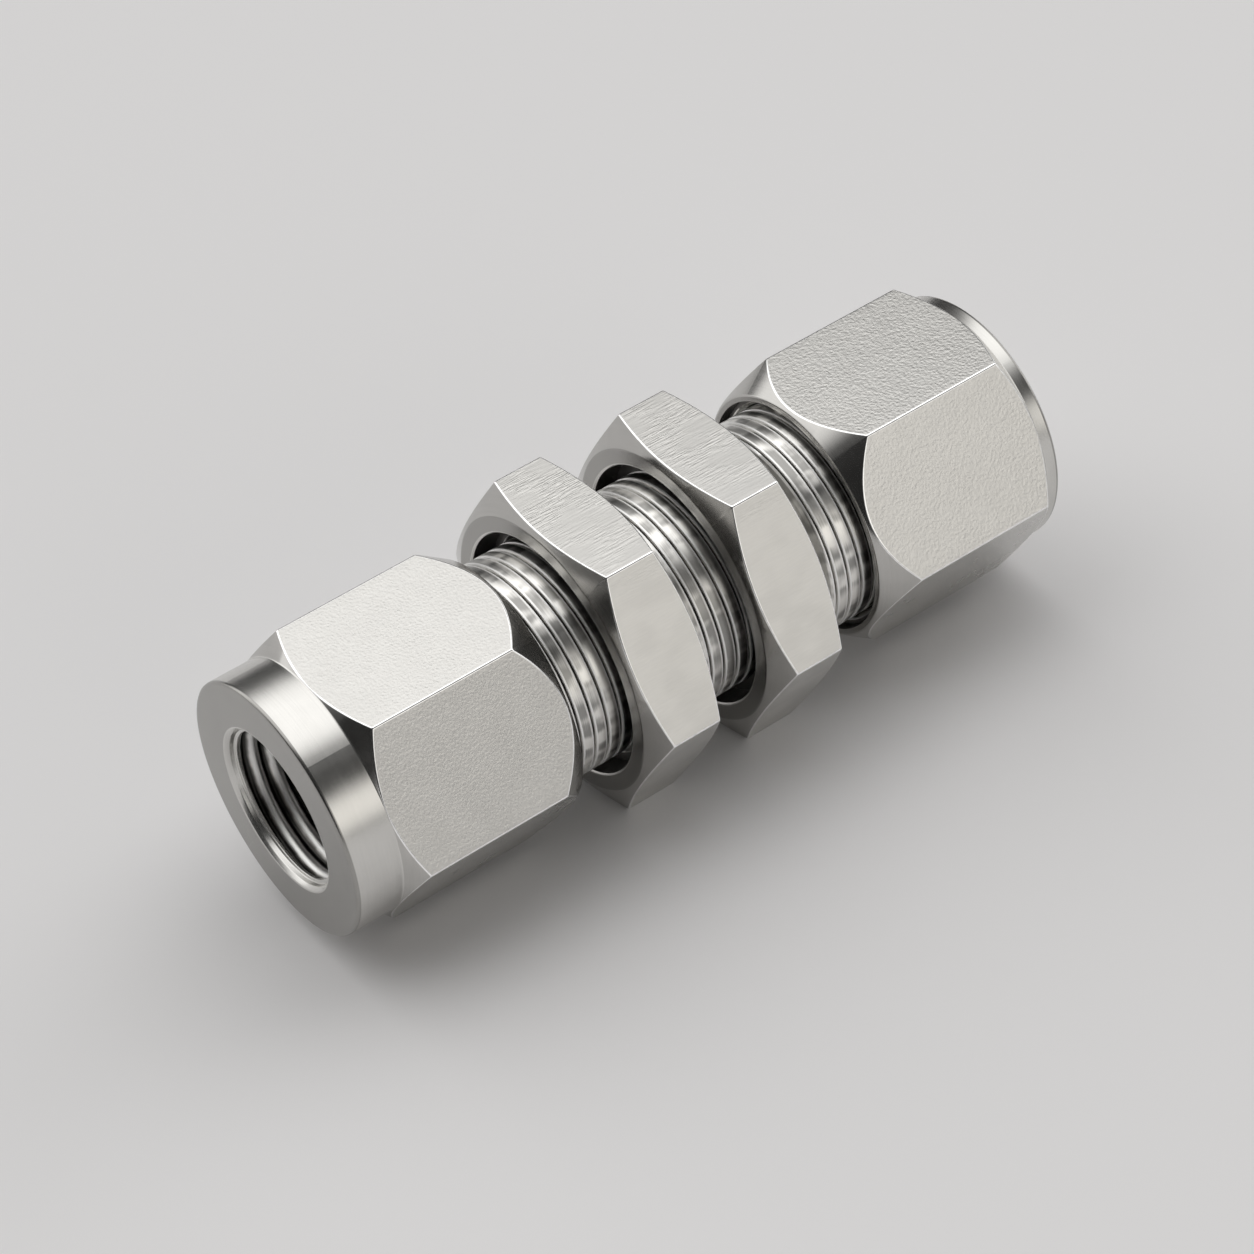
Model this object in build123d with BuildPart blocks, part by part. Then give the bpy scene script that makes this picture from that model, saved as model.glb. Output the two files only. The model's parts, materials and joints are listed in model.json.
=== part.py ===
from build123d import *
from math import radians, sqrt, tan
import os

# Double-ferrule bulkhead union for half-inch tube, all sizes in millimetres.
# X runs along the fitting. The origin lies under its middle, on the surface it rests on.

# Tube, and the walls that give the thread and the hexagons their size
tube_od = 12.7
tube_wall = 1.2
thread_wall = 3.175
thread_clearance = 0.075
wide_hex_wall = 3.175
tube_nut_wall = 1.5875

# Lengths along the fitting, from the left end to the right end
left_nut_length = 21.25
left_thread_gap = 4.85
jam_nut_width = 6.85
panel_gap = 5.3
body_hex_width = 6.85
right_thread_gap = 5.7
right_nut_length = 18.95

# How the tube nuts stand on the body when they are finger tight: the length of thread they
# cover, and the angle from level, by the right-hand rule about each nut's outward direction
nut_engagement = 8.45
left_nut_turn = -3.85
right_nut_turn = -0.35

# Hexagon ends: chamfers on the body and jam nut, turned ends on the tube nuts
hex_chamfer_angle = 25.0
hex_rim_inset = 0.6
nut_rim_inset = 0.23
nut_inner_chamfer = 2.9
nut_outer_angle = 39.0
left_collar_length = 4.15
right_collar_length = 1.3
collar_inset = 0.06
collar_edge = 0.3

# Countersink where the thread enters each face, and the turned ends of the thread
recess_gap = 1.3
nut_mouth_gap = 0.3
thread_end_chamfer = 0.8
relief_width = 1.5
relief_depth = 0.95

# Body: camming seat, tube socket and through bore
seat_angle = 20.0
seat_depth = 2.9
socket_clearance = 0.08
tube_stop_depth = 13.0

# Ferrules
ferrule_clearance = 0.05
seat_gap = 0.05
front_ferrule_entry = 1.9
front_ferrule_length = 4.6
front_ferrule_wall = 1.35
front_ferrule_bevel = 0.75
ferrule_bevel_angle = 35.0
back_ferrule_nose_wall = 0.2
back_ferrule_wall = 1.45
back_ferrule_rim = 1.45
back_ferrule_heel = 0.7

# Tube nut bores
nut_bore_clearance = 0.1
nut_mouth_chamfer = 0.65
chamber_clearance = 0.3
thread_bore_depth = 10.4

# Radii that several pieces share
tube_r = tube_od / 2
thread_r = tube_r + thread_wall
nut_thread_r = thread_r + thread_clearance
wide_hex_r = thread_r + wide_hex_wall
tube_nut_r = thread_r + tube_nut_wall
through_bore_r = tube_r - tube_wall
socket_r = tube_r + socket_clearance
seat_slope = tan(radians(seat_angle))
seat_mouth_r = socket_r + seat_depth * seat_slope
ferrule_bore_r = tube_r + ferrule_clearance
recess_r = thread_r + recess_gap
hex_slope = tan(radians(hex_chamfer_angle))

# Stations along X, worked out from the lengths
overall_length = (
    left_nut_length + left_thread_gap + jam_nut_width + panel_gap
    + body_hex_width + right_thread_gap + right_nut_length
)
left_nut_face = -overall_length / 2 + left_nut_length
jam_left = left_nut_face + left_thread_gap
jam_right = jam_left + jam_nut_width
hex_left = jam_right + panel_gap
hex_right = hex_left + body_hex_width
right_nut_face = hex_right + right_thread_gap
body_left = left_nut_face - nut_engagement
body_right = right_nut_face + nut_engagement

# The fitting lies on the flats of its two wide hexagons, with its axis at this height
axis_height = wide_hex_r
centre_line = Axis((0, 0, axis_height), (1, 0, 0))


def cross_plane(x, direction=1):
    """A plane square to the fitting's axis, facing along it."""
    return Plane(origin=(x, 0, axis_height), x_dir=(0, 1, 0), z_dir=(direction, 0, 0))


def section_plane(x, direction=1):
    """A plane through the axis: local x runs along the fitting and local y is the radius."""
    return Plane(origin=(x, 0, axis_height), x_dir=(direction, 0, 0), z_dir=(0, -direction, 0))


def turned(points, plane, mode=Mode.ADD):
    """Revolve a closed section, given as distances along the axis and radii."""
    with BuildSketch(plane) as section:
        with BuildLine():
            Polyline(*points, close=True)
        make_face()
    revolve(section.sketch, axis=centre_line, mode=mode)


def hexagon(flat_r, length, plane, turn=0.0):
    """A hexagonal bar, flat_r from its axis to each flat. Two flats are level if it isn't turned."""
    with BuildSketch(plane) as section:
        RegularPolygon(flat_r, 6, major_radius=False, rotation=turn)
    extrude(section.sketch, amount=length)


def wide_hexagon(width, left):
    """A wide hexagon from the station left, with both ends turned down to a round rim."""
    hexagon(wide_hex_r, width, cross_plane(left))
    rim_r = wide_hex_r - hex_rim_inset
    outside_r = 2 * wide_hex_r
    run = (outside_r - rim_r) * hex_slope
    # Each chamfer is a cone that opens from the rim to outside the corners
    for start, direction in ((left, 1), (left + width, -1)):
        turned(
            [(0, rim_r), (run, outside_r), (-width, outside_r), (-width, rim_r)],
            section_plane(start, direction),
            Mode.SUBTRACT,
        )


def countersink(face_x, inward, bottom_r):
    """A cone of 45 degrees cut into a face, from the recess radius down to bottom_r."""
    turned(
        [(0, 0), (0, recess_r), (recess_r - bottom_r, bottom_r), (recess_r - bottom_r, 0)],
        section_plane(face_x, inward),
        Mode.SUBTRACT,
    )


# Body: one turned piece with its hexagon, two threaded ends and a seat and socket in each
with BuildPart() as body:
    wide_hexagon(body_hex_width, hex_left)
    # Recess in the panel side of the hexagon, which the thread runs into
    countersink(hex_left, 1, thread_r)
    # Threaded shanks at their major diameter, chamfered at both ends
    with BuildSketch(cross_plane(body_left)):
        Circle(thread_r)
    extrude(amount=body_right - body_left)
    end_faces = body.faces().filter_by(Axis.X).sort_by(Axis.X)
    chamfer([end_faces[0].edges(), end_faces[-1].edges()], thread_end_chamfer)
    # Relief where the right thread ends beside the hexagon
    turned(
        [
            (0, thread_r - relief_depth),
            (relief_width, thread_r - relief_depth),
            (relief_width, thread_r + relief_depth),
            (0, thread_r + relief_depth),
        ],
        section_plane(hex_right),
        Mode.SUBTRACT,
    )
    # Seat cone and tube socket, the same at both ends
    for end_x, inward in ((body_left, 1), (body_right, -1)):
        turned(
            [
                (0, 0),
                (0, seat_mouth_r),
                (seat_depth, socket_r),
                (tube_stop_depth, socket_r),
                (tube_stop_depth, 0),
            ],
            section_plane(end_x, inward),
            Mode.SUBTRACT,
        )
    # Through bore, as wide as the tube is inside
    with BuildSketch(cross_plane(body_left)):
        Circle(through_bore_r)
    extrude(amount=body_right - body_left, mode=Mode.SUBTRACT)
body.part.label = "body"


# Jam nut: clamps the panel against the body's hexagon
with BuildPart() as jam_nut:
    wide_hexagon(jam_nut_width, jam_left)
    with BuildSketch(cross_plane(jam_left)):
        Circle(nut_thread_r)
    extrude(amount=jam_nut_width, mode=Mode.SUBTRACT)
    # Both faces are countersunk, so the nut may go on either way round
    for face_x, inward in ((jam_left, 1), (jam_right, -1)):
        countersink(face_x, inward, nut_thread_r)
jam_nut.part.label = "jam_nut"


# Ferrule sections, as distances outward from the body's end face and radii
def front_ferrule_section():
    bevel_slope = tan(radians(ferrule_bevel_angle))
    tip = -front_ferrule_entry
    heel = tip + front_ferrule_length
    rim_r = ferrule_bore_r + front_ferrule_wall
    cone_at_face = seat_mouth_r - seat_gap
    return [
        (tip, ferrule_bore_r),
        (tip, cone_at_face + tip * seat_slope),
        ((rim_r - cone_at_face) / seat_slope, rim_r),
        (heel, rim_r),
        (heel, ferrule_bore_r + front_ferrule_bevel),
        (heel - front_ferrule_bevel / bevel_slope, ferrule_bore_r),
    ]


def back_ferrule_section():
    bevel_slope = tan(radians(ferrule_bevel_angle))
    front_heel = front_ferrule_length - front_ferrule_entry
    shoulder = front_heel + seat_gap
    # The nose lies one seat gap inside the front ferrule's bevel
    nose_r = ferrule_bore_r + front_ferrule_bevel - seat_gap * (1 - bevel_slope)
    tip = shoulder - (nose_r - ferrule_bore_r - back_ferrule_nose_wall) / bevel_slope
    rim_r = ferrule_bore_r + back_ferrule_wall
    rim_end = shoulder + back_ferrule_rim
    return [
        (tip, ferrule_bore_r),
        (tip, ferrule_bore_r + back_ferrule_nose_wall),
        (shoulder, nose_r),
        (shoulder, rim_r),
        (rim_end, rim_r),
        (rim_end + back_ferrule_heel, rim_r - back_ferrule_heel),
        (rim_end + back_ferrule_heel, ferrule_bore_r),
    ]


# Each end has a tube nut over a back ferrule and a front ferrule
ends = {
    "left": (-1, body_left, left_nut_length, left_collar_length, left_nut_turn),
    "right": (1, body_right, right_nut_length, right_collar_length, right_nut_turn),
}
end_parts = []
for side, (outward, seat_x, nut_length, collar_length, nut_turn) in ends.items():
    along = section_plane(seat_x, outward)

    with BuildPart() as front_ferrule:
        turned(front_ferrule_section(), along)
    front_ferrule.part.label = f"{side}_front_ferrule"

    with BuildPart() as back_ferrule:
        turned(back_ferrule_section(), along)
    back_ferrule.part.label = f"{side}_back_ferrule"

    # The nut's own stations, outward from the body's end face
    inner_face = -nut_engagement
    outer_face = inner_face + nut_length
    collar_start = outer_face - collar_length
    corner_r = tube_nut_r * 2 / sqrt(3)
    rim_r = tube_nut_r - nut_rim_inset
    collar_r = tube_nut_r - collar_inset
    outer_slope = tan(radians(nut_outer_angle))
    inner_slope = nut_inner_chamfer / (corner_r - rim_r)
    outside_r = 2 * tube_nut_r

    with BuildPart() as tube_nut:
        hexagon(tube_nut_r, nut_length, cross_plane(seat_x + outward * inner_face, outward), nut_turn)
        # Turned envelope: steep chamfer inside, shallow cone and collar outside
        turned(
            [
                (inner_face, rim_r),
                (inner_face + (outside_r - rim_r) * inner_slope, outside_r),
                (inner_face - nut_length, outside_r),
                (inner_face - nut_length, rim_r),
            ],
            along,
            Mode.SUBTRACT,
        )
        turned(
            [
                (collar_start, collar_r),
                (collar_start - (outside_r - collar_r) * outer_slope, outside_r),
                (outer_face + nut_length, outside_r),
                (outer_face + nut_length, collar_r),
            ],
            along,
            Mode.SUBTRACT,
        )
        # Thread bore, ferrule chamber, shoulder behind the back ferrule, and tube bore
        bore_end = inner_face + thread_bore_depth
        mouth_r = nut_thread_r + nut_mouth_gap
        back_rim_r = ferrule_bore_r + back_ferrule_wall
        chamber_r = back_rim_r + chamber_clearance
        shoulder = (
            front_ferrule_length - front_ferrule_entry + seat_gap
            + back_ferrule_rim + back_ferrule_heel + seat_gap
        )
        heel_r = back_rim_r - back_ferrule_heel
        nut_bore_r = tube_r + nut_bore_clearance
        turned(
            [
                (inner_face, 0),
                (inner_face, mouth_r),
                (inner_face + nut_mouth_gap, nut_thread_r),
                (bore_end, nut_thread_r),
                (bore_end, chamber_r),
                (shoulder - (chamber_r - heel_r), chamber_r),
                (shoulder, heel_r),
                (shoulder, nut_bore_r),
                (outer_face, nut_bore_r),
                (outer_face, 0),
            ],
            along,
            Mode.SUBTRACT,
        )
        # Break the collar's front edge and open the mouth for the tube
        front = tube_nut.faces().filter_by(Axis.X).sort_by(Axis.X)[-1 if outward > 0 else 0]
        chamfer(front.edges().sort_by(SortBy.RADIUS)[-1], collar_edge)
        front = tube_nut.faces().filter_by(Axis.X).sort_by(Axis.X)[-1 if outward > 0 else 0]
        chamfer(front.edges().sort_by(SortBy.RADIUS)[0], nut_mouth_chamfer)
    tube_nut.part.label = f"{side}_tube_nut"

    end_parts += [front_ferrule.part, back_ferrule.part, tube_nut.part]


# One STEP file for each piece
os.makedirs("parts", exist_ok=True)
for piece in [body.part, jam_nut.part] + end_parts:
    export_step(piece, f"parts/{piece.label}.step")
    size = piece.bounding_box().size
    print(f"{piece.label}: {piece.volume:.0f} mm3, {size.X:.2f} x {size.Y:.2f} x {size.Z:.2f} mm")
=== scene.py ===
# %% [markdown]
# # A bulkhead tube fitting
#
# The part is a stainless steel union that carries a tube through a panel. A body with its own
# wide hexagon is threaded at both ends. A jam nut runs on the long thread and clamps the panel,
# and a tube nut at each end squeezes two small ferrules onto a tube.
#
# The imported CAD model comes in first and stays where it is. It could be shown as it stands, but
# its threads are plain cylinders, so the visible pieces are built again here with real threads,
# softened edges and a finish for each surface. Each one takes its size and place from its node.

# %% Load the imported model
import json
import math

import bmesh
import bpy
import numpy as np
from mathutils import Matrix, Vector


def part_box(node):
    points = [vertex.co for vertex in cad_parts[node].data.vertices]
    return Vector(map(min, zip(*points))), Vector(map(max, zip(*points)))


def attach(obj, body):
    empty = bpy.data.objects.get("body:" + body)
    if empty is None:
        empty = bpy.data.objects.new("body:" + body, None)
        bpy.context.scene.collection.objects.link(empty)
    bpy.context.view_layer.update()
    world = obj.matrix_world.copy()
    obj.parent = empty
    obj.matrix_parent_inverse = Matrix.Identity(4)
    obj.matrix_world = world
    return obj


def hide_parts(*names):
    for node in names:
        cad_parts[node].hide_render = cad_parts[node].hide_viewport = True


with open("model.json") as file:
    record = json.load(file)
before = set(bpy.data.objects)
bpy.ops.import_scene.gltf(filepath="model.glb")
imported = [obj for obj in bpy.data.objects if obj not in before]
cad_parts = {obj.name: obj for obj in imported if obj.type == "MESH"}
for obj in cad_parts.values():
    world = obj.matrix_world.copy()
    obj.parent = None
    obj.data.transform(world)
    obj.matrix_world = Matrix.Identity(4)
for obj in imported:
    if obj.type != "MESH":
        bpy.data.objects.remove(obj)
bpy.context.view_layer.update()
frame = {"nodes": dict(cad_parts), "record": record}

MM = 0.001

# %% [markdown]
# ## Measuring the hexagons
#
# A hexagon is known from one corner: its distance from the axis gives the size across the flats,
# and its angle says how far the nut is turned. The corner is the point of the node's mesh that
# lies farthest from the axis. Measuring it keeps this script in step with the CAD source.
#
# Angles run about the fitting's axis from +Y, the back, through +Z, the top. All sizes in the
# next cells are in millimetres and become metres only when a mesh is made.

# %% Measure the four hexagons
mounts = {mount["name"]: Vector(mount["pos_m"]) for mount in frame["record"]["mounts"]}
AXIS_HEIGHT = mounts["left_tube_port"].z / MM


def measure(node):
    """Left and right station of a node, the inscribed radius of its hexagon and its turn."""
    low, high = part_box(node)
    points = np.array([vertex.co for vertex in frame["nodes"][node].data.vertices]) / MM
    y, z = points[:, 1], points[:, 2] - AXIS_HEIGHT
    radius = np.hypot(y, z)
    corner = int(np.argmax(radius))
    turn = math.atan2(z[corner], y[corner]) % (math.pi / 3)
    flat_radius = float(radius[corner]) * math.cos(math.pi / 6)
    return low.x / MM, high.x / MM, flat_radius, turn


left_outer, left_inner, nut_flat, left_turn = measure("left_tube_nut")
right_inner, right_outer, nut_flat, right_turn = measure("right_tube_nut")
jam_left, jam_right, wide_flat, wide_turn = measure("jam_nut")
body_left, body_right, wide_flat, wide_turn = measure("body")
hex_left = mounts["panel_seat"].x / MM
hex_right = 2 * mounts["rest_flat"].x / MM - hex_left
print(f"tube nuts {2 * nut_flat:.2f} mm and wide hexagons {2 * wide_flat:.2f} mm across the flats")
print(f"body from {body_left:.3f} to {body_right:.3f}, its hexagon {hex_left:.3f} to {hex_right:.3f}")
print(f"turns {math.degrees(left_turn):.2f}, {math.degrees(right_turn):.2f} degrees")

# %% [markdown]
# ## A milled bar with turned ends
#
# A nut starts as hexagonal bar and is turned on a lathe, so each of its ends is a cone that cuts
# the flats in a curved line. A Boolean cut would leave that line ragged. Here every piece is a
# set of sections instead: the same outline, drawn once for each direction round the axis. The
# cone meets each section where its radius equals that of the bar, so the curve comes out exact,
# and its vertices lie along it.
#
# The bar's corners are rounded a little. The columns bunch up on each corner for that.

# %% Directions round the axis, and the radius of a hexagonal bar
CORNER_ROUND = 0.22
CORNER_COLUMNS = 4
FLAT_COLUMNS = 24


def bar_columns(flat_radius, turn):
    """Angles round the axis, closer together on the six rounded corners."""
    inner = flat_radius - CORNER_ROUND
    touch = math.pi / 6 - math.atan(inner * math.tan(math.pi / 6) / flat_radius)
    sector = [-touch, -touch / 2, 0, touch / 2]
    sector += list(np.linspace(touch, math.pi / 3 - touch, FLAT_COLUMNS, endpoint=False))
    angles = [turn + side * math.pi / 3 + angle for side in range(6) for angle in sector]
    return np.array(angles)


def bar_radius(angles, flat_radius, turn):
    """Distance from the axis to a hexagonal bar with rounded corners, in each direction."""
    from_corner = (angles - turn + math.pi / 6) % (math.pi / 3) - math.pi / 6
    inner = flat_radius - CORNER_ROUND
    touch = math.pi / 6 - math.atan(inner * math.tan(math.pi / 6) / flat_radius)
    flat = flat_radius / np.cos(math.pi / 6 - np.abs(from_corner))
    centre = inner / math.cos(math.pi / 6)
    across = np.maximum(CORNER_ROUND**2 - (centre * np.sin(from_corner)) ** 2, 0)
    rounded = centre * np.cos(from_corner) + np.sqrt(across)
    return np.where(np.abs(from_corner) < touch, rounded, flat)


wide_columns = bar_columns(wide_flat, wide_turn)
print(len(wide_columns), "directions round the axis")

# %% [markdown]
# ## Softened edges
#
# No machined edge is perfectly sharp. The narrow round on each edge is what catches the light as
# a thin bright line, and a sharp edge in a render never shows it. The Bevel modifier could add
# it, but here the outline is only a line of points, so each point with an edge size becomes a
# small curve of four points before the mesh is made.
#
# Each stretch of the outline also carries the name of its finish, such as blasted or turned.
# Rounds beside the flats take the edge finish, whose light colour is a painted highlight.

# %% Outlines that run along the fitting
EDGE = 0.09


class Outline:
    """A line of stations and radii, repeated for each direction round the axis."""

    def __init__(self, angles, hexagonal=False):
        self.angles = angles
        self.stops = []
        # The first columns of each flat's share go round a corner
        place = np.arange(len(angles)) % (CORNER_COLUMNS + FLAT_COLUMNS)
        self.corner = (place < CORNER_COLUMNS) & hexagonal

    def to(self, x, radius, finish="turned", edge=EDGE):
        """Go on to a station and radius. The finish is that of the stretch that ends there."""
        spread = np.zeros(len(self.angles))
        self.stops.append((np.stack([x + spread, radius + spread]), finish, edge))
        return self

    def softened(self):
        """Rings of points with each edge rounded, and the finish of each ring's stretch."""
        rings, finishes = [], []
        count = len(self.stops)
        for index, (point, finish, edge) in enumerate(self.stops):
            if edge == 0 or index in (0, count - 1):
                rings.append(point)
                finishes.append(finish)
                continue
            before = self.stops[index - 1][0] - point
            after = self.stops[index + 1][0] - point
            next_finish = self.stops[index + 1][1]
            lengths = [np.maximum(np.linalg.norm(side, axis=0), 1e-6) for side in (before, after)]
            reach = np.minimum(edge, 0.45 * np.minimum(*lengths))
            start = point + before / lengths[0] * reach
            stop = point + after / lengths[1] * reach
            # Rounds beside the flats take the edge finish, whose light colour is a painted highlight
            smoother = "edge" if finish in FLATS or next_finish in FLATS else finish
            for step in (0, 1 / 3, 2 / 3, 1):
                rings.append(start * (1 - step) ** 2 + point * 2 * step * (1 - step) + stop * step**2)
                finishes.append(finish if step == 0 else smoother)
        return rings, finishes


FLATS = ("blasted", "pebbled", "brushed")
FINISHES = ["turned", "faced", "coned", "edge", *FLATS, "thread", "bore", "recess", "bore thread"]
print("edges rounded by", EDGE, "mm")

# %% [markdown]
# ## From rings to a mesh
#
# A builder collects the points and faces of one piece. It adds outlines as strips of faces, takes
# in the threads made further down, and closes the gap between a thread's last ring and the ring
# of a face beside it. Those two have different numbers of points, so it walks round both at once
# and always steps forward on the one that lags.
#
# Each point also keeps how far it lies across a thread, from 0 in the middle of the groove. The
# threads' finish reads it. Points of plain surfaces take the widest value.

# %% A builder for one piece
WIDEST_ACROSS = 3.0
SHARP_ANGLE = math.radians(50)
WELD_DISTANCE = 2e-7


class Piece:
    """Points in millimetres about the axis, and faces with the index of their finish."""

    def __init__(self):
        self.points = []
        self.faces = []
        self.finishes = []
        self.across = []

    def ring(self, angles, ring):
        """Adds one ring and returns the numbers of its points."""
        first = len(self.points)
        for x, radius, angle in zip(*ring, angles):
            self.points.append((x, radius * math.cos(angle), radius * math.sin(angle)))
            self.across.append(WIDEST_ACROSS)
        return list(range(first, len(self.points)))

    def face(self, corners, finish):
        """Adds one face, left out where its corners are one point."""
        if len(set(corners)) > 2:
            self.faces.append(corners)
            self.finishes.append(FINISHES.index(finish))

    def strips(self, outline):
        """Adds an outline and returns the numbers of its first and last rings."""
        rings, finishes = outline.softened()
        rows = [self.ring(outline.angles, ring) for ring in rings]
        around = len(outline.angles)
        for low, high, finish in zip(rows, rows[1:], finishes[1:]):
            for index in range(around):
                after = (index + 1) % around
                # The rounded corners of the flats take the edge finish too, a painted highlight along
                # the hexagon
                marking = outline.corner[index] and finish in FLATS
                corners = (low[index], low[after], high[after], high[index])
                self.face(corners, "edge" if marking else finish)
        return rows[0], rows[-1]

    def angle(self, number):
        """Direction of a point round the axis, from 0 to a full turn."""
        return math.atan2(self.points[number][2], self.points[number][1]) % math.tau

    def join(self, first, second, finish):
        """Closes the band between two rings that both run once round the axis."""
        loops = [sorted(loop, key=self.angle) for loop in (first, second)]
        marks = [[self.angle(number) for number in loop] for loop in loops]
        for mark in marks:
            mark.append(math.tau + mark[0])
        here = [0, 0]
        while here[0] < len(loops[0]) or here[1] < len(loops[1]):
            ready = [here[side] < len(loops[side]) for side in (0, 1)]
            ahead = [marks[side][here[side] + 1] if ready[side] else math.inf for side in (0, 1)]
            side = 0 if ahead[0] <= ahead[1] else 1
            corners = [loops[0][here[0] % len(loops[0])], loops[1][here[1] % len(loops[1])]]
            here[side] += 1
            corners.append(loops[side][here[side] % len(loops[side])])
            self.face(tuple(corners), finish)

    def take_in(self, mesh, finish):
        """Adds a thread's mesh and returns the rings at its two open ends."""
        first = len(self.points)
        count = len(mesh.vertices)
        flat = np.empty(count * 3)
        mesh.vertices.foreach_get("co", flat)
        points = flat.reshape(-1, 3) / MM - (0, 0, AXIS_HEIGHT)
        self.points += [tuple(point) for point in points]
        across = np.empty(count)
        mesh.attributes["across"].data.foreach_get("value", across)
        self.across += across.tolist()
        uses = {}
        for polygon in mesh.polygons:
            self.face(tuple(first + number for number in polygon.vertices), finish)
            for edge in polygon.edge_keys:
                uses[edge] = uses.get(edge, 0) + 1
        # The rings at the ends are made of the edges that belong to a single face
        rim = sorted({number for edge, count in uses.items() if count == 1 for number in edge})
        middle = (points[:, 0].min() + points[:, 0].max()) / 2
        near = [first + number for number in rim if points[number, 0] < middle]
        far = [first + number for number in rim if points[number, 0] >= middle]
        return [near, far]

    def finish(self, name, node, body, slot):
        """Makes the object, with even normals and its finishes, in place of its CAD node."""
        mesh = bpy.data.meshes.new(name)
        points = [(x * MM, y * MM, (z + AXIS_HEIGHT) * MM) for x, y, z in self.points]
        mesh.from_pydata(points, [], self.faces)
        used = sorted(set(self.finishes))
        for index in used:
            mesh.materials.append(materials[FINISHES[index]])
        mesh.polygons.foreach_set("material_index", [used.index(index) for index in self.finishes])
        across = mesh.attributes.new("across", "FLOAT", "POINT")
        across.data.foreach_set("value", self.across)
        edit = bmesh.new()
        edit.from_mesh(mesh)
        bmesh.ops.remove_doubles(edit, verts=edit.verts, dist=WELD_DISTANCE)
        bmesh.ops.dissolve_degenerate(edit, edges=edit.edges, dist=1e-8)
        bmesh.ops.recalc_face_normals(edit, faces=edit.faces)
        open_edges = sum(1 for edge in edit.edges if len(edge.link_faces) != 2)
        volume = edit.calc_volume(signed=True)
        edit.to_mesh(mesh)
        edit.free()
        mesh.shade_smooth()
        mesh.set_sharp_from_angle(angle=SHARP_ANGLE)
        holder = bpy.data.objects.new(name + "_draft", mesh)
        bpy.context.collection.objects.link(holder)
        weighted = holder.modifiers.new("even normals", "WEIGHTED_NORMAL")
        weighted.keep_sharp = True
        weighted.weight = 100
        evaluated = holder.evaluated_get(bpy.context.evaluated_depsgraph_get())
        final = bpy.data.meshes.new_from_object(evaluated)
        bpy.data.objects.remove(holder)
        piece = bpy.data.objects.new(name, final)
        bpy.context.collection.objects.link(piece)
        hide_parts(node)
        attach(piece, body)
        triangles = sum(len(polygon.vertices) - 2 for polygon in final.polygons)
        print(f"{name}: {triangles} triangles, {open_edges} open edges, {volume / MM**3:.0f} mm3")
        return piece


# %% [markdown]
# ## Building node trees with expressions
#
# The threads are a Geometry Nodes tree and the finishes are shader trees. Both do much of their
# work with Math nodes, which read best as formulas. This small class wraps a socket, so that
# a + b or 1 - a adds the Math node for it. Any other node comes from one method, which makes its
# settings first, because some settings change the sockets that a node has.

# %% Sockets that understand arithmetic
class Wire:
    """An output socket with the usual operators."""

    def __init__(self, tree, socket):
        self.tree = tree
        self.socket = socket

    def node(self, kind, settings=None, inputs=None, output=0):
        """Adds a node to the same tree and returns one of its outputs."""
        return add_node(self.tree, kind, settings, inputs, output)

    def math(self, operation, *others):
        """One Math node with this socket first."""
        values = dict(enumerate((self,) + others))
        return self.node("ShaderNodeMath", {"operation": operation}, values)

    def __add__(self, other):
        return self.math("ADD", other)

    def __sub__(self, other):
        return self.math("SUBTRACT", other)

    def __mul__(self, other):
        return self.math("MULTIPLY", other)

    def __truediv__(self, other):
        return self.math("DIVIDE", other)

    def __rsub__(self, other):
        return (self * -1).math("ADD", other)

    __radd__ = __add__
    __rmul__ = __mul__

    def clamp(self, low=0.0, high=1.0):
        return self.math("MAXIMUM", low).math("MINIMUM", high)

    def smooth(self, low, high):
        """0 below low, 1 above high and a soft step between."""
        settings = {"interpolation_type": "SMOOTHSTEP"}
        inputs = {"Value": self, "From Min": low, "From Max": high}
        return self.node("ShaderNodeMapRange", settings, inputs)


def add_node(tree, kind, settings=None, inputs=None, output=0):
    """Adds a node, makes its settings, then fills its sockets with values or links."""
    node = tree.nodes.new(kind)
    for key, value in (settings or {}).items():
        setattr(node, key, value)
    for key, value in (inputs or {}).items():
        if isinstance(value, Wire):
            tree.links.new(value.socket, node.inputs[key])
        else:
            node.inputs[key].default_value = value
    return Wire(tree, node.outputs[output])


print("node helpers ready")

# %% [markdown]
# ## The threads
#
# A thread repeats along a helix, which suits Geometry Nodes. A grid is rolled up into a sleeve
# whose rows climb by one pitch in each turn, so that every crest and groove follows a row. Two
# thirds of the rows lie in the groove, where the shape bends most. The crests are wide and the
# grooves narrow, as the fitting shows them.
#
# Rows past the ends are pressed onto the end station and merged, which leaves a clean open ring
# at each end. Near an end the radius also stays under a cone, which is the thread's chamfer. The
# same tree makes the inside threads of the nuts, with its grooves cut outwards.

# %% A Geometry Nodes tree for any thread
THREAD_PITCH = 1.27
THREAD_DEPTH = 0.4
CREST_SHARE = 0.78
THREAD_FORM = (THREAD_PITCH, THREAD_DEPTH, CREST_SHARE)
CROWN_SHARE = 0.07
SEGMENTS_ROUND = 144
ROWS_IN_A_TURN = 16
MERGE_DISTANCE = 2e-6


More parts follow.
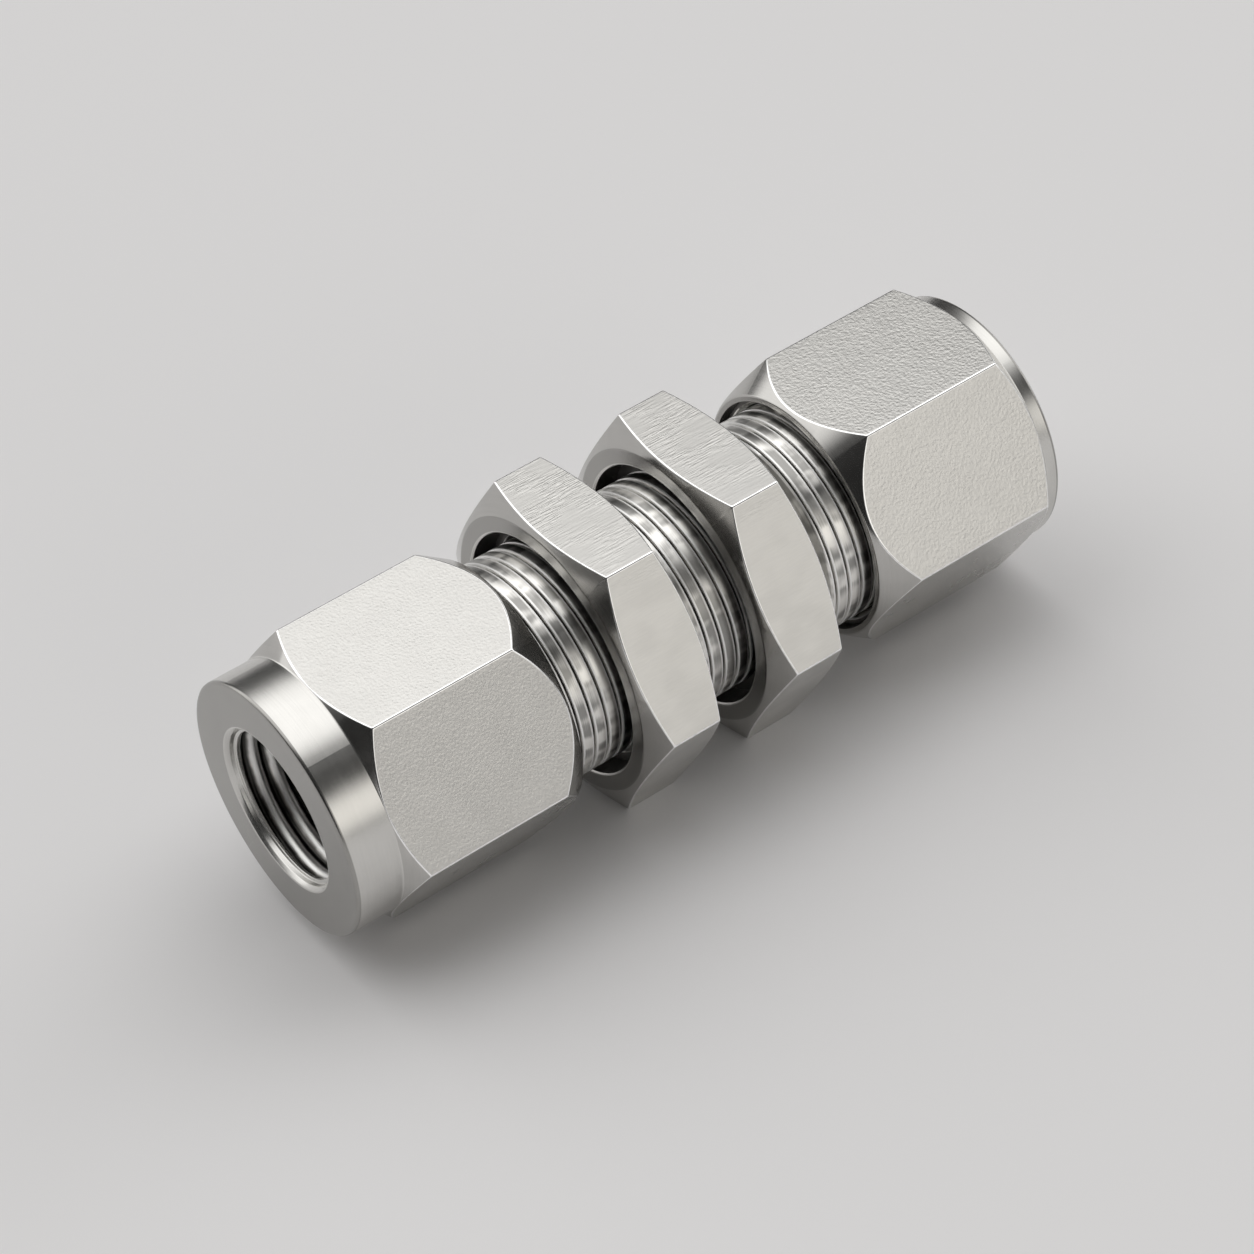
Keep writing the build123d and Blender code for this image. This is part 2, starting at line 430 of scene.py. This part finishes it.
def thread_tree():
    """Sleeve with a helical groove, between two stations on the fitting's axis."""
    tree = bpy.data.node_groups.new("helical thread", "GeometryNodeTree")
    floats = ["Start", "End", "Radius", "Depth", "Pitch", "Crest share", "Side", "Start radius"]
    floats += ["End radius", "End slope", "Axis height"]
    for name in floats:
        tree.interface.new_socket(name, in_out="INPUT", socket_type="NodeSocketFloat")
    for name in ("Segments", "Rows in a turn"):
        tree.interface.new_socket(name, in_out="INPUT", socket_type="NodeSocketInt")
    tree.interface.new_socket("Material", in_out="INPUT", socket_type="NodeSocketMaterial")
    tree.interface.new_socket("Geometry", in_out="OUTPUT", socket_type="NodeSocketGeometry")
    entry = tree.nodes.new("NodeGroupInput")
    given = {socket.name: Wire(tree, socket) for socket in entry.outputs if socket.name}
    pitch, rows = given["Pitch"], given["Rows in a turn"]
    side, depth = given["Side"], given["Depth"]

    first_turn = (given["Start"] / pitch).math("FLOOR") - 1
    turns = (given["End"] / pitch).math("CEIL") - first_turn
    sizes = {
        "Size X": turns,
        "Size Y": 1.0,
        "Vertices X": turns * rows + 1,
        "Vertices Y": given["Segments"] + 1,
    }
    grid = add_node(tree, "GeometryNodeMeshGrid", None, sizes)
    place = add_node(tree, "GeometryNodeInputPosition")
    split = place.node("ShaderNodeSeparateXYZ", None, {0: place})
    across = Wire(tree, split.socket.node.outputs[1])
    step = split + turns * 0.5 + first_turn
    turn = across + 0.5
    angle = turn * math.tau

    # Two thirds of the rows go to the groove: half its width is reached after a third of a pitch
    half_groove = (1 - given["Crest share"]) * 0.5
    off_middle = step.math("FRACT") - 0.5
    distance = off_middle.math("ABSOLUTE")
    in_groove = distance.math("MINIMUM", 1 / 3) * 3 * half_groove
    on_crest = (distance - 1 / 3).math("MAXIMUM", 0.0) * 6 * (0.5 - half_groove)
    warped = step.math("FLOOR") + 0.5 + off_middle.math("SIGN") * (in_groove + on_crest)
    station = ((warped + turn) * pitch).math("MAXIMUM", given["Start"]).math("MINIMUM", given["End"])

    # The groove's depth follows from the station that the point ended at
    phase = ((station / pitch - turn).math("FRACT") - 0.5).math("ABSOLUTE")
    inside = (1 - phase / half_groove).clamp()
    groove = (1 - (inside * math.pi).math("COSINE")) * 0.5 * depth
    crown = ((phase - half_groove) / (0.5 - half_groove)).clamp() - 1
    radius = given["Radius"] - side * (groove + crown * crown * CROWN_SHARE * depth)
    from_start = side * given["Start radius"] + (station - given["Start"]) * given["End slope"]
    from_end = side * given["End radius"] + (given["End"] - station) * given["End slope"]
    limited = (side * radius).math("MINIMUM", from_start).math("MINIMUM", from_end) * side

    y = angle.math("COSINE") * limited
    z = angle.math("SINE") * limited + given["Axis height"]
    position = add_node(tree, "ShaderNodeCombineXYZ", None, {0: station, 1: y, 2: z})
    # How far a point is from the groove's middle, 1 at its edge, for the finish to read. It is
    # stored while the grid is still flat, because it is worked out from the flat positions.
    share = (phase / half_groove).math("MINIMUM", WIDEST_ACROSS)
    kind = {"data_type": "FLOAT", "domain": "POINT"}
    mark = {"Geometry": grid, "Name": "across", "Value": share}
    marked = add_node(tree, "GeometryNodeStoreNamedAttribute", kind, mark)
    place_at = {"Geometry": marked, "Position": position}
    rolled = add_node(tree, "GeometryNodeSetPosition", None, place_at)
    close_by = {"Geometry": rolled, "Distance": MERGE_DISTANCE}
    merged = add_node(tree, "GeometryNodeMergeByDistance", None, close_by)
    real = add_node(tree, "GeometryNodeRealizeInstances", None, {"Geometry": merged})
    paint = {"Geometry": real, "Material": given["Material"]}
    painted = add_node(tree, "GeometryNodeSetMaterial", None, paint)
    leave = tree.nodes.new("NodeGroupOutput")
    tree.links.new(painted.socket, leave.inputs[0])
    return tree


HELIX = thread_tree()


def thread_mesh(start, end, radius, start_radius, end_radius, side=1, form=THREAD_FORM):
    """Runs the tree and returns its result as a plain mesh."""
    pitch, depth, crest_share = form
    draft = bpy.data.meshes.new("thread draft")
    holder = bpy.data.objects.new("thread draft", draft)
    bpy.context.collection.objects.link(holder)
    modifier = holder.modifiers.new("thread", "NODES")
    modifier.node_group = HELIX
    values = {
        "Start": start * MM,
        "End": end * MM,
        "Radius": radius * MM,
        "Depth": depth * MM,
        "Pitch": pitch * MM,
        "Crest share": crest_share,
        "Side": float(side),
        "Start radius": start_radius * MM,
        "End radius": end_radius * MM,
        "End slope": 1.0,
        "Axis height": AXIS_HEIGHT * MM,
        "Segments": SEGMENTS_ROUND,
        "Rows in a turn": ROWS_IN_A_TURN,
        "Material": materials["thread"],
    }
    for item in HELIX.interface.items_tree:
        if item.in_out == "INPUT":
            modifier[item.identifier] = values[item.name]
    evaluated = holder.evaluated_get(bpy.context.evaluated_depsgraph_get())
    mesh = bpy.data.meshes.new_from_object(evaluated)
    bpy.data.objects.remove(holder)
    return mesh


inputs = [item.name for item in HELIX.interface.items_tree if item.in_out == "INPUT"]
print("thread inputs:", inputs)

# %% [markdown]
# ## Finishes
#
# All pieces are the same stainless steel, and the machining differs. The tube nuts' flats
# are blasted, which leaves a very fine grain, coarser on the right nut. The flats of the two wide
# hexagons are brushed along the fitting. Collars, cones and faces are turned, with faint rings.
# Faces, cones, bores and recesses are painted darker as shade, and the softened edges lighter as a
# highlight. The threads have grooves painted dark as shade, shoulders beside them painted bright
# as a highlight, and crests with a soft mottle that is a painted reflection.
#
# An image could carry such patterns, but it would blur up close. Noise in a shader has detail at
# any distance, and it reads the object's own coordinates, so it stays put when a nut turns.

# %% A steel material with its own grain
def steel(name, colour, detail):
    """Bare steel: detail(coordinates) gives what changes over it, as wires."""
    material = bpy.data.materials.new(name)
    material.use_nodes = True
    tree = material.node_tree
    shader = next(node for node in tree.nodes if node.type == "BSDF_PRINCIPLED")
    shader.inputs["Metallic"].default_value = 1.0
    shader.inputs["Base Color"].default_value = (*colour, 1)
    where = add_node(tree, "ShaderNodeTexCoord", None, None, "Object")
    found = detail(where)
    tree.links.new(found["roughness"].socket, shader.inputs["Roughness"])
    if "tint" in found:
        found["colour"] = blend(found["tint"], scaled(colour, 0.8), scaled(colour, 1.06))
    tree.links.new(found["colour"].socket, shader.inputs["Base Color"])
    if "height" in found:
        bump_inputs = {"Height": found["height"], "Strength": 1.0, "Distance": found["relief"] * MM}
        bump = where.node("ShaderNodeBump", None, bump_inputs)
        tree.links.new(bump.socket, shader.inputs["Normal"])
    return material


def scaled(colour, factor):
    """A lighter or darker version of a colour."""
    return tuple(min(value * factor, 1) for value in colour)


def blend(amount, first, second):
    """The first colour where the amount is 0 and the second where it is 1."""
    colours = [colour if isinstance(colour, Wire) else (*colour, 1) for colour in (first, second)]
    inputs = {"Factor": amount, 6: colours[0], 7: colours[1]}
    return amount.node("ShaderNodeMix", {"data_type": "RGBA"}, inputs, 2)


def stretched(where, along, around):
    """Coordinates in units of grain: so many millimetres along the axis and round it."""
    scale = (1 / (along * MM), 1 / (around * MM), 1 / (around * MM))
    return where.node("ShaderNodeVectorMath", {"operation": "MULTIPLY"}, {0: where, 1: scale})


def noise(coordinates, detail=2.0):
    """Smooth noise, about 0.5 in the mean, one lump for each unit of the coordinates."""
    inputs = {"Vector": coordinates, "Scale": 1.0, "Detail": detail}
    return coordinates.node("ShaderNodeTexNoise", None, inputs)


def round_axis(where):
    """Station along the axis, distance from it and angle round it."""
    x = where.node("ShaderNodeSeparateXYZ", None, {0: where})
    y = Wire(x.tree, x.socket.node.outputs[1])
    z = Wire(x.tree, x.socket.node.outputs[2]) - AXIS_HEIGHT * MM
    radius = (y * y + z * z).math("SQRT")
    return x, radius, z.math("ARCTAN2", y)


print("steel helper ready")

# %% A steel for each finish
STEEL = (0.72, 0.71, 0.685)
# Faces, cones and bores are the same steel painted darker, as painted shade
FACED_SHADE_STEEL = (0.4, 0.392, 0.375)
CONED_SHADE_STEEL = (0.56, 0.55, 0.53)
BORED_SHADE_STEEL = (0.4, 0.39, 0.37)
# Edges and thread shoulders are painted light, as a painted highlight
EDGE_HIGHLIGHT_STEEL = (0.96, 0.955, 0.94)
CREST_STEEL = (0.66, 0.65, 0.625)
# Thread grooves, the grooves in the nuts' bores and the recesses are painted dark, as painted shade
GROOVE_SHADE_STEEL = (0.25, 0.24, 0.23)
RECESS_SHADE_STEEL = (0.09, 0.086, 0.08)
BLACK_GROOVE_SHADE_STEEL = (0.05, 0.048, 0.045)


def blasted_grain(size, relief):
    """A fine, even grain from shot blasting."""

    def detail(where):
        fine = noise(stretched(where, size, size), 4.0)
        broad = noise(stretched(where, 3.0, 3.0), 2.0)
        return {
            "height": fine,
            "relief": relief,
            "roughness": 0.26 + broad * 0.04,
            "tint": (fine * 0.5 + broad * 0.5).smooth(-0.3, 1.3),
        }

    return detail


def brushed_grain(where):
    """Short scratches along the fitting, mostly on the flats that lie level."""
    lines = noise(stretched(where, 1.3, 0.14), 2.0)
    patches = noise(stretched(where, 3.5, 2.5), 1.0).smooth(0.35, 0.6)
    split = add_node(where.tree, "ShaderNodeSeparateXYZ", None, {0: where})
    height = (Wire(where.tree, split.socket.node.outputs[2]) - AXIS_HEIGHT * MM).math("ABSOLUTE")
    level = height.smooth(0.8 * wide_flat * MM, 0.97 * wide_flat * MM)
    back = Wire(where.tree, split.socket.node.outputs[1]).smooth(-7 * MM, 4 * MM)
    marking = level * (0.15 + patches * (0.3 + back * 0.55))
    scratched = lines.smooth(0.35, 0.65) * (0.05 + marking)
    return {
        "height": scratched,
        "relief": 0.015,
        "roughness": 0.3 + lines * 0.06,
        "tint": (lines * 0.4 + patches * 0.2 + 0.2).smooth(-0.2, 1.2),
    }


def turned_grain(shine):
    """Faint rings left by the lathe, a little uneven round the piece."""

    def detail(where):
        x, radius, angle = round_axis(where)
        ring_width = 0.12 * MM
        turned = {0: x / ring_width, 1: radius / ring_width, 2: angle * 1.5}
        groove = noise(x.node("ShaderNodeCombineXYZ", None, turned), 2.0)
        broad = noise(stretched(where, 2.0, 2.0), 2.0)
        return {
            "height": groove,
            "relief": 0.0006,
            "roughness": shine + groove * 0.05 + broad * 0.05,
            "tint": (groove * 0.5 + broad * 0.5).smooth(-0.2, 1.2),
        }

    return detail


def thread_grain_and_painted_light(groove_shade_colour, crest_colour, shoulder_highlight_colour):
    """Painted shade in the grooves, painted highlight on the shoulders, and crests with drawn lines
    and a mottle of painted reflection.
    """

    def detail(where):
        across = add_node(where.tree, "ShaderNodeAttribute", {"attribute_name": "across"}, None, "Fac")
        mottle = noise(stretched(where, 3.5, 1.5), 1.0)
        drawn = noise(stretched(where, 0.09, 5.0), 2.0)
        crest = across.smooth(0.25, 0.6)
        # The shoulders take the light edge steel, a painted highlight beside each groove
        shoulder = across.smooth(0.45, 0.75) * (1 - across.smooth(1.7, 2.3))
        # The crest mottle is a painted reflection: bright and dark patches on the crests
        shade = (mottle * 0.85 + drawn * 0.15).smooth(0.38, 0.62)
        crest_tint = blend(shade, scaled(crest_colour, 0.5), scaled(crest_colour, 1.35))
        base = blend(crest, groove_shade_colour, crest_tint)
        return {
            "height": drawn + mottle,
            "relief": 0.004,
            "roughness": 0.28 + drawn * 0.06 + shoulder * 0.17,
            "colour": blend(shoulder, base, shoulder_highlight_colour),
        }

    return detail


def edge_grain(where):
    """Edges polished smooth, whose light steel colour is a painted highlight, with a few duller spots.
    """
    spots = noise(stretched(where, 0.5, 0.5), 2.0)
    return {"roughness": 0.1 + spots * 0.1, "tint": spots.smooth(0.15, 0.6)}


# The faced, coned, bored and recess steels carry painted shade, the edge steel a painted highlight
materials = {
    "turned": steel("turned steel", STEEL, turned_grain(0.2)),
    "blasted": steel("blasted steel", scaled(STEEL, 0.93), blasted_grain(0.22, 0.026)),
    "pebbled": steel("pebbled steel", STEEL, blasted_grain(0.26, 0.03)),
    "brushed": steel("brushed steel", STEEL, brushed_grain),
    "recess": steel("recess with painted shade", RECESS_SHADE_STEEL, turned_grain(0.3)),
    "bore": steel("bored steel with painted shade", BORED_SHADE_STEEL, turned_grain(0.2)),
    "faced": steel("faced steel with painted shade", FACED_SHADE_STEEL, turned_grain(0.2)),
    "coned": steel("coned steel with painted shade", CONED_SHADE_STEEL, turned_grain(0.14)),
    "edge": steel("polished edge with painted highlight", EDGE_HIGHLIGHT_STEEL, edge_grain),
}
# The thread finishes paint shade into the grooves and a highlight onto the shoulders
outer_grain_and_painted_light = thread_grain_and_painted_light(GROOVE_SHADE_STEEL, CREST_STEEL, EDGE_HIGHLIGHT_STEEL)
inner_grain_and_painted_light = thread_grain_and_painted_light(BLACK_GROOVE_SHADE_STEEL, STEEL, EDGE_HIGHLIGHT_STEEL)
materials["thread"] = steel("rolled steel thread", CREST_STEEL, outer_grain_and_painted_light)
materials["bore thread"] = steel("cut steel bore", STEEL, inner_grain_and_painted_light)
print("finishes:", ", ".join(materials))

# %% [markdown]
# ## The body
#
# The body is one piece: a long thread that goes through the panel, its hexagon, a relief groove
# and the short thread. Inside each end a cone takes the front ferrule, a socket takes the tube
# and a shoulder stops it. The threads come from the tree above and the rest is outlines.

# %% Body
THREAD_RADIUS = 9.525
END_RADIUS = 8.725
RUN_OUT_RADIUS = 8.9
HEX_SLOPE = math.tan(math.radians(25))
RIM_RADIUS = wide_flat - 0.6
LIP_RADIUS = 10.825
POCKET_RADIUS = 10.55
POCKET_DEPTH = 2.2


def wide_hexagon(outline, columns, left, right):
    """The outside of a wide hexagon, from the rim of its left face to that of its right face."""
    radius = bar_radius(columns, wide_flat, wide_turn)
    fall = (radius - RIM_RADIUS) * HEX_SLOPE
    outline.to(left, RIM_RADIUS, "faced", 0.1)
    outline.to(left + fall, radius, "coned")
    outline.to(right - fall, radius, "brushed")
    outline.to(right, RIM_RADIUS, "coned", 0.1)


def left_pocket(outline, face):
    """The pocket round the thread in a wide hexagon's left face, its walls painted dark as shade."""
    outline.to(face + POCKET_DEPTH, POCKET_RADIUS, "recess", 0)
    outline.to(face + 0.15, POCKET_RADIUS + 0.1, "recess", 0.05)
    outline.to(face, LIP_RADIUS, "turned", 0.05)


body = Piece()
round_columns = np.arange(SEGMENTS_ROUND) * math.tau / SEGMENTS_ROUND
ends = (body_left, hex_left + POCKET_DEPTH)
long_thread = thread_mesh(*ends, THREAD_RADIUS, END_RADIUS, RUN_OUT_RADIUS)
left_thread = body.take_in(long_thread, "thread")
ends = (hex_right + 1.5, body_right)
short_thread = thread_mesh(*ends, THREAD_RADIUS, RUN_OUT_RADIUS, END_RADIUS)
right_thread = body.take_in(short_thread, "thread")

RELIEF_RADIUS = 8.575
middle = Outline(wide_columns, True)
left_pocket(middle, hex_left)
wide_hexagon(middle, wide_columns, hex_left, hex_right)
middle.to(hex_right, 9.2, "faced", 0.1)
middle.to(hex_right + 0.6, RELIEF_RADIUS, "turned", 0.3)
middle.to(hex_right + 1.2, RELIEF_RADIUS, "turned", 0)
pocket_ring, relief_ring = body.strips(middle)
body.join(left_thread[1], pocket_ring, "recess")
body.join(relief_ring, right_thread[0], "turned")

SEAT_RADIUS = 7.4855
SEAT_DEPTH = 2.9
SOCKET_RADIUS = 6.43
SOCKET_DEPTH = 13
FLOW_RADIUS = 5.15
inside = Outline(round_columns)
inside.to(body_right, END_RADIUS, "turned", 0)
inside.to(body_right, SEAT_RADIUS, "turned", 0.1)
inside.to(body_right - SEAT_DEPTH, SOCKET_RADIUS, "bore")
inside.to(body_right - SOCKET_DEPTH, SOCKET_RADIUS, "bore")
inside.to(body_right - SOCKET_DEPTH, FLOW_RADIUS, "bore")
inside.to(body_left + SOCKET_DEPTH, FLOW_RADIUS, "bore")
inside.to(body_left + SOCKET_DEPTH, SOCKET_RADIUS, "bore")
inside.to(body_left + SEAT_DEPTH, SOCKET_RADIUS, "bore")
inside.to(body_left, SEAT_RADIUS, "bore", 0.1)
inside.to(body_left, END_RADIUS, "turned", 0)
right_ring, left_ring = body.strips(inside)
body.join(right_thread[1], right_ring, "turned")
body.join(left_ring, left_thread[0], "turned")
body.finish("body_steelwork", "body", "body", "body_steel")

# %% [markdown]
# ## The jam nut
#
# The jam nut is the same bar as the body's hexagon, with a countersunk thread through it. The
# countersinks let it start easily on the thread from either side. They show as the dark ring where
# the thread goes in: the pocket is deep and in shade, and its walls are painted dark as shade too.

# %% Jam nut
NUT_THREAD_RADIUS = 9.6
NUT_END_RADIUS = 9.9
jam = Piece()
ends = (jam_left + POCKET_DEPTH, jam_right - POCKET_DEPTH)
inner_thread = thread_mesh(*ends, NUT_THREAD_RADIUS, NUT_END_RADIUS, NUT_END_RADIUS, -1)
jam_thread = jam.take_in(inner_thread, "thread")
shell = Outline(wide_columns, True)
left_pocket(shell, jam_left)
wide_hexagon(shell, wide_columns, jam_left, jam_right)
shell.to(jam_right, LIP_RADIUS, "faced", 0.08)
shell.to(jam_right - 0.15, POCKET_RADIUS + 0.1, "turned", 0.05)
shell.to(jam_right - POCKET_DEPTH, POCKET_RADIUS, "recess", 0)
near_ring, far_ring = jam.strips(shell)
jam.join(jam_thread[0], near_ring, "recess")
jam.join(far_ring, jam_thread[1], "recess")
jam.finish("jam_nut_steel", "jam_nut", "jam_nut", "nut_steel")

# %% [markdown]
# ## The tube nuts
#
# Both tube nuts are the same but for their length and the collar at the outer end. The inner end
# has a steep chamfer that rounds the flats off, and the outer end a shallow cone that leads to
# the collar. Each is drawn outwards from its outer face, so one function makes both.

# %% Tube nuts
INNER_RIM = nut_flat - 0.23
COLLAR_RADIUS = nut_flat - 0.06
NUT_THREAD_DEPTH = 10.4
SHOULDER_DEPTH = 13.4
CHAMBER_RADIUS = 8.15
NUT_MOUTH_RADIUS = 9.95
NUT_RECESS = 0.9
INNER_CHAMFER = 2.9
INNER_SLOPE = INNER_CHAMFER / (nut_flat / math.cos(math.pi / 6) - INNER_RIM)
OUTER_SLOPE = math.tan(math.radians(39))
LEFT_COLLAR = 4.15
RIGHT_COLLAR = 1.3
TUBE_BORE = 6.45
GROOVE_FORM = (1.55, 0.5, 0.16)
GROOVE_START = 1.0
GROOVE_END = 6.0
# Depth from the outer face, radius and edge size
MOUTH = ((0.75, TUBE_BORE, 0.06), (0.7, 6.72, 0.06), (0.3, 6.8, 0.06), (0, 7.1, 0.1))


def tube_nut(name, outer, inner, turn, collar_length, flats, node, body_name):
    """A nut from its outer face to its inner face, whichever way it points."""
    way = 1 if inner > outer else -1
    length = abs(inner - outer)
    columns = bar_columns(nut_flat, turn)
    radius = bar_radius(columns, nut_flat, turn)
    nut = Piece()

    bore_far = length - NUT_THREAD_DEPTH
    recess = inner - way * NUT_RECESS
    ends = sorted((outer + way * bore_far, recess))
    limits = (NUT_END_RADIUS, NUT_MOUTH_RADIUS)
    if way < 0:
        limits = (NUT_MOUTH_RADIUS, NUT_END_RADIUS)
    own_thread = nut.take_in(thread_mesh(*ends, NUT_THREAD_RADIUS, *limits, -1), "thread")
    if way < 0:
        own_thread.reverse()
    ends = sorted((outer + way * GROOVE_START, outer + way * GROOVE_END))
    mouth_grooves = thread_mesh(*ends, TUBE_BORE, TUBE_BORE, TUBE_BORE, -1, GROOVE_FORM)
    grooves = nut.take_in(mouth_grooves, "bore thread")
    if way < 0:
        grooves.reverse()

    shell = Outline(columns, True)
    shell.to(outer + way * GROOVE_START, TUBE_BORE, "bore", 0)
    for depth, mouth_radius, edge in MOUTH:
        shell.to(outer + way * depth, mouth_radius, "turned", edge)
    shell.to(outer, COLLAR_RADIUS, "faced", 0.3)
    shell.to(outer + way * collar_length, COLLAR_RADIUS, "turned", 0.08)
    cone_length = (radius - COLLAR_RADIUS) * OUTER_SLOPE
    shell.to(outer + way * (collar_length + cone_length), radius, "coned")
    shell.to(inner - way * (radius - INNER_RIM) * INNER_SLOPE, radius, flats)
    shell.to(inner, INNER_RIM, "coned", 0.12)
    shell.to(inner, 10.35, "faced", 0.05)
    shell.to(recess, 10.25, "recess", 0)
    mouth_ring, inner_ring = nut.strips(shell)
    nut.join(grooves[0], mouth_ring, "bore")
    nut.join(inner_ring, own_thread[1], "recess")

    chamber = Outline(round_columns)
    chamber.to(outer + way * bore_far, 9.0, "bore", 0)
    chamber.to(outer + way * bore_far, CHAMBER_RADIUS, "bore", 0.1)
    chamber.to(inner - way * (SHOULDER_DEPTH - 1), CHAMBER_RADIUS, "bore")
    chamber.to(inner - way * SHOULDER_DEPTH, CHAMBER_RADIUS - 1, "bore")
    chamber.to(inner - way * SHOULDER_DEPTH, TUBE_BORE, "bore")
    chamber.to(outer + way * GROOVE_END, TUBE_BORE, "bore", 0)
    bore_ring, groove_ring = nut.strips(chamber)
    nut.join(own_thread[0], bore_ring, "bore")
    nut.join(groove_ring, grooves[1], "bore")
    nut.finish(name, node, body_name, "nut_steel")


left_ends = (left_outer, left_inner, left_turn)
right_ends = (right_outer, right_inner, right_turn)
left_nodes = ("left_tube_nut", "left_nut")
right_nodes = ("right_tube_nut", "right_nut")
tube_nut("left_tube_nut_steel", *left_ends, LEFT_COLLAR, "blasted", *left_nodes)
tube_nut("right_tube_nut_steel", *right_ends, RIGHT_COLLAR, "pebbled", *right_nodes)

# %% [markdown]
# ## The ferrules
#
# The four ferrules are turned rings inside the nuts. Their CAD shapes are already right, so they
# stay, and only take the turned finish.

# %% Ferrules
for node in ("left_front_ferrule", "left_back_ferrule", "right_front_ferrule", "right_back_ferrule"):
    ring = frame["nodes"][node]
    ring.data.materials.clear()
    ring.data.materials.append(materials["turned"])
print("ferrules take", materials["turned"].name)

# %% [markdown]
# ## Floor and light
#
# Bare metal shows little of its own: it shows what is around it. So the look comes from the
# studio. Area lamps could stand for the soft boxes, but strips that run the whole length of the
# fitting are easier to place by angle, so they are painted on the world. A direction is given by
# its angle about the fitting's axis, from the back through the top to the front.

# %% Floor
FLOOR_COLOUR = (0.84, 0.833, 0.838)
floor_mesh = bpy.data.meshes.new("floor")
reach = 1.5
level = -0.00005
corners = [(-reach, -reach), (reach, -reach), (reach, reach), (-reach, reach)]
floor_mesh.from_pydata([(*corner, level) for corner in corners], [], [(0, 1, 2, 3)])
floor = bpy.data.objects.new("floor", floor_mesh)
bpy.context.collection.objects.link(floor)
paper = bpy.data.materials.new("floor paper")
paper.use_nodes = True
paper_shader = next(node for node in paper.node_tree.nodes if node.type == "BSDF_PRINCIPLED")
paper_shader.inputs["Base Color"].default_value = (*FLOOR_COLOUR, 1)
paper_shader.inputs["Roughness"].default_value = 0.9
paper_shader.inputs["Specular IOR Level"].default_value = 0.1
floor_mesh.materials.append(paper)
print("floor colour", FLOOR_COLOUR)

# %% Studio on the world
AMBIENT = 0.03
BACKDROP = 0.66
world = bpy.data.worlds.new("studio")
bpy.context.scene.world = world
world.use_nodes = True
sky = world.node_tree
sky.nodes.clear()
towards = add_node(sky, "ShaderNodeTexCoord", None, None, "Generated")
x = towards.node("ShaderNodeSeparateXYZ", None, {0: towards})
y = Wire(sky, x.socket.node.outputs[1])
z = Wire(sky, x.socket.node.outputs[2])
around = z.math("ARCTAN2", y) * (180 / math.pi)


def soft_box(low, high, softness, left, right, side_softness, low_slant=0.0, high_slant=0.0):
    """1 within a strip of angles about the axis and a range along it, fading at the edges."""
    first, last = around - x * low_slant, around - x * high_slant
    rising = first.smooth(low - softness, low + softness)
    falling = 1 - last.smooth(high - softness, high + softness)
    from_left = x.smooth(left - side_softness, left + side_softness)
    to_right = 1 - x.smooth(right - side_softness, right + side_softness)
    return rising * falling * (from_left * to_right)


# The key hangs over the fitting, and its edges lean with the length
key = soft_box(17, 101, 12, -0.75, 0.75, 0.2, 62, 17) * (1.4 + x * 0.2)
# A low box stands in front, and another one faces the far end
front = soft_box(146, 176, 8, -0.2, 0.7, 0.25) * (1.65 - around * 0.0033)
far_end = soft_box(20, 165, 15, 0.8, 1.4, 0.06) * 1.3
light = key + front + far_end + AMBIENT

# Only the camera sees the pale backdrop. Bare metal takes its look from the boxes, so reflections
# keep them.
camera_ray = add_node(sky, "ShaderNodeLightPath", None, None, "Is Camera Ray")
strength = light * (1 - camera_ray) + camera_ray * BACKDROP
tint = blend(front.clamp() * (1 - camera_ray), (1, 0.995, 0.985), (1, 0.975, 0.93))
background = add_node(sky, "ShaderNodeBackground", None, {"Color": tint, "Strength": strength})
leave = sky.nodes.new("ShaderNodeOutputWorld")
sky.links.new(background.socket, leave.inputs["Surface"])
print("studio painted on the world")

# %% [markdown]
# ## Camera
#
# The view is that of the photograph: from the left end, in front and above. Its angles and its
# distance were solved from the corners of the hexagons. The lens is long, so that the far end
# looks only a little smaller than the near one.

# %% Camera
AZIMUTH = math.radians(-33.348)
ELEVATION = math.radians(43.448)
ROLL = math.radians(-5.3267)
AIM = Vector((-2.2770, -1.4891, AXIS_HEIGHT)) * MM
DISTANCE = 313.312 * MM
FOCAL_LENGTH = 113.184

back = Vector(
    (
        math.sin(AZIMUTH) * math.cos(ELEVATION),
        -math.cos(AZIMUTH) * math.cos(ELEVATION),
        math.sin(ELEVATION),
    )
)
level_right = Vector((math.cos(AZIMUTH), math.sin(AZIMUTH), 0))
level_up = back.cross(level_right)
right = level_right * math.cos(ROLL) + level_up * math.sin(ROLL)
up = back.cross(right)
lens = bpy.data.cameras.new("camera")
lens.lens = FOCAL_LENGTH
lens.sensor_width = 36
lens.clip_start = 0.01
camera = bpy.data.objects.new("camera", lens)
bpy.context.collection.objects.link(camera)
facing = Matrix((right, up, back)).transposed().to_4x4()
camera.matrix_world = Matrix.Translation(AIM + back * DISTANCE) @ facing
bpy.context.scene.camera = camera
bpy.context.scene.view_settings.view_transform = "Standard"
print("camera at", [round(value / MM, 1) for value in camera.matrix_world.translation])
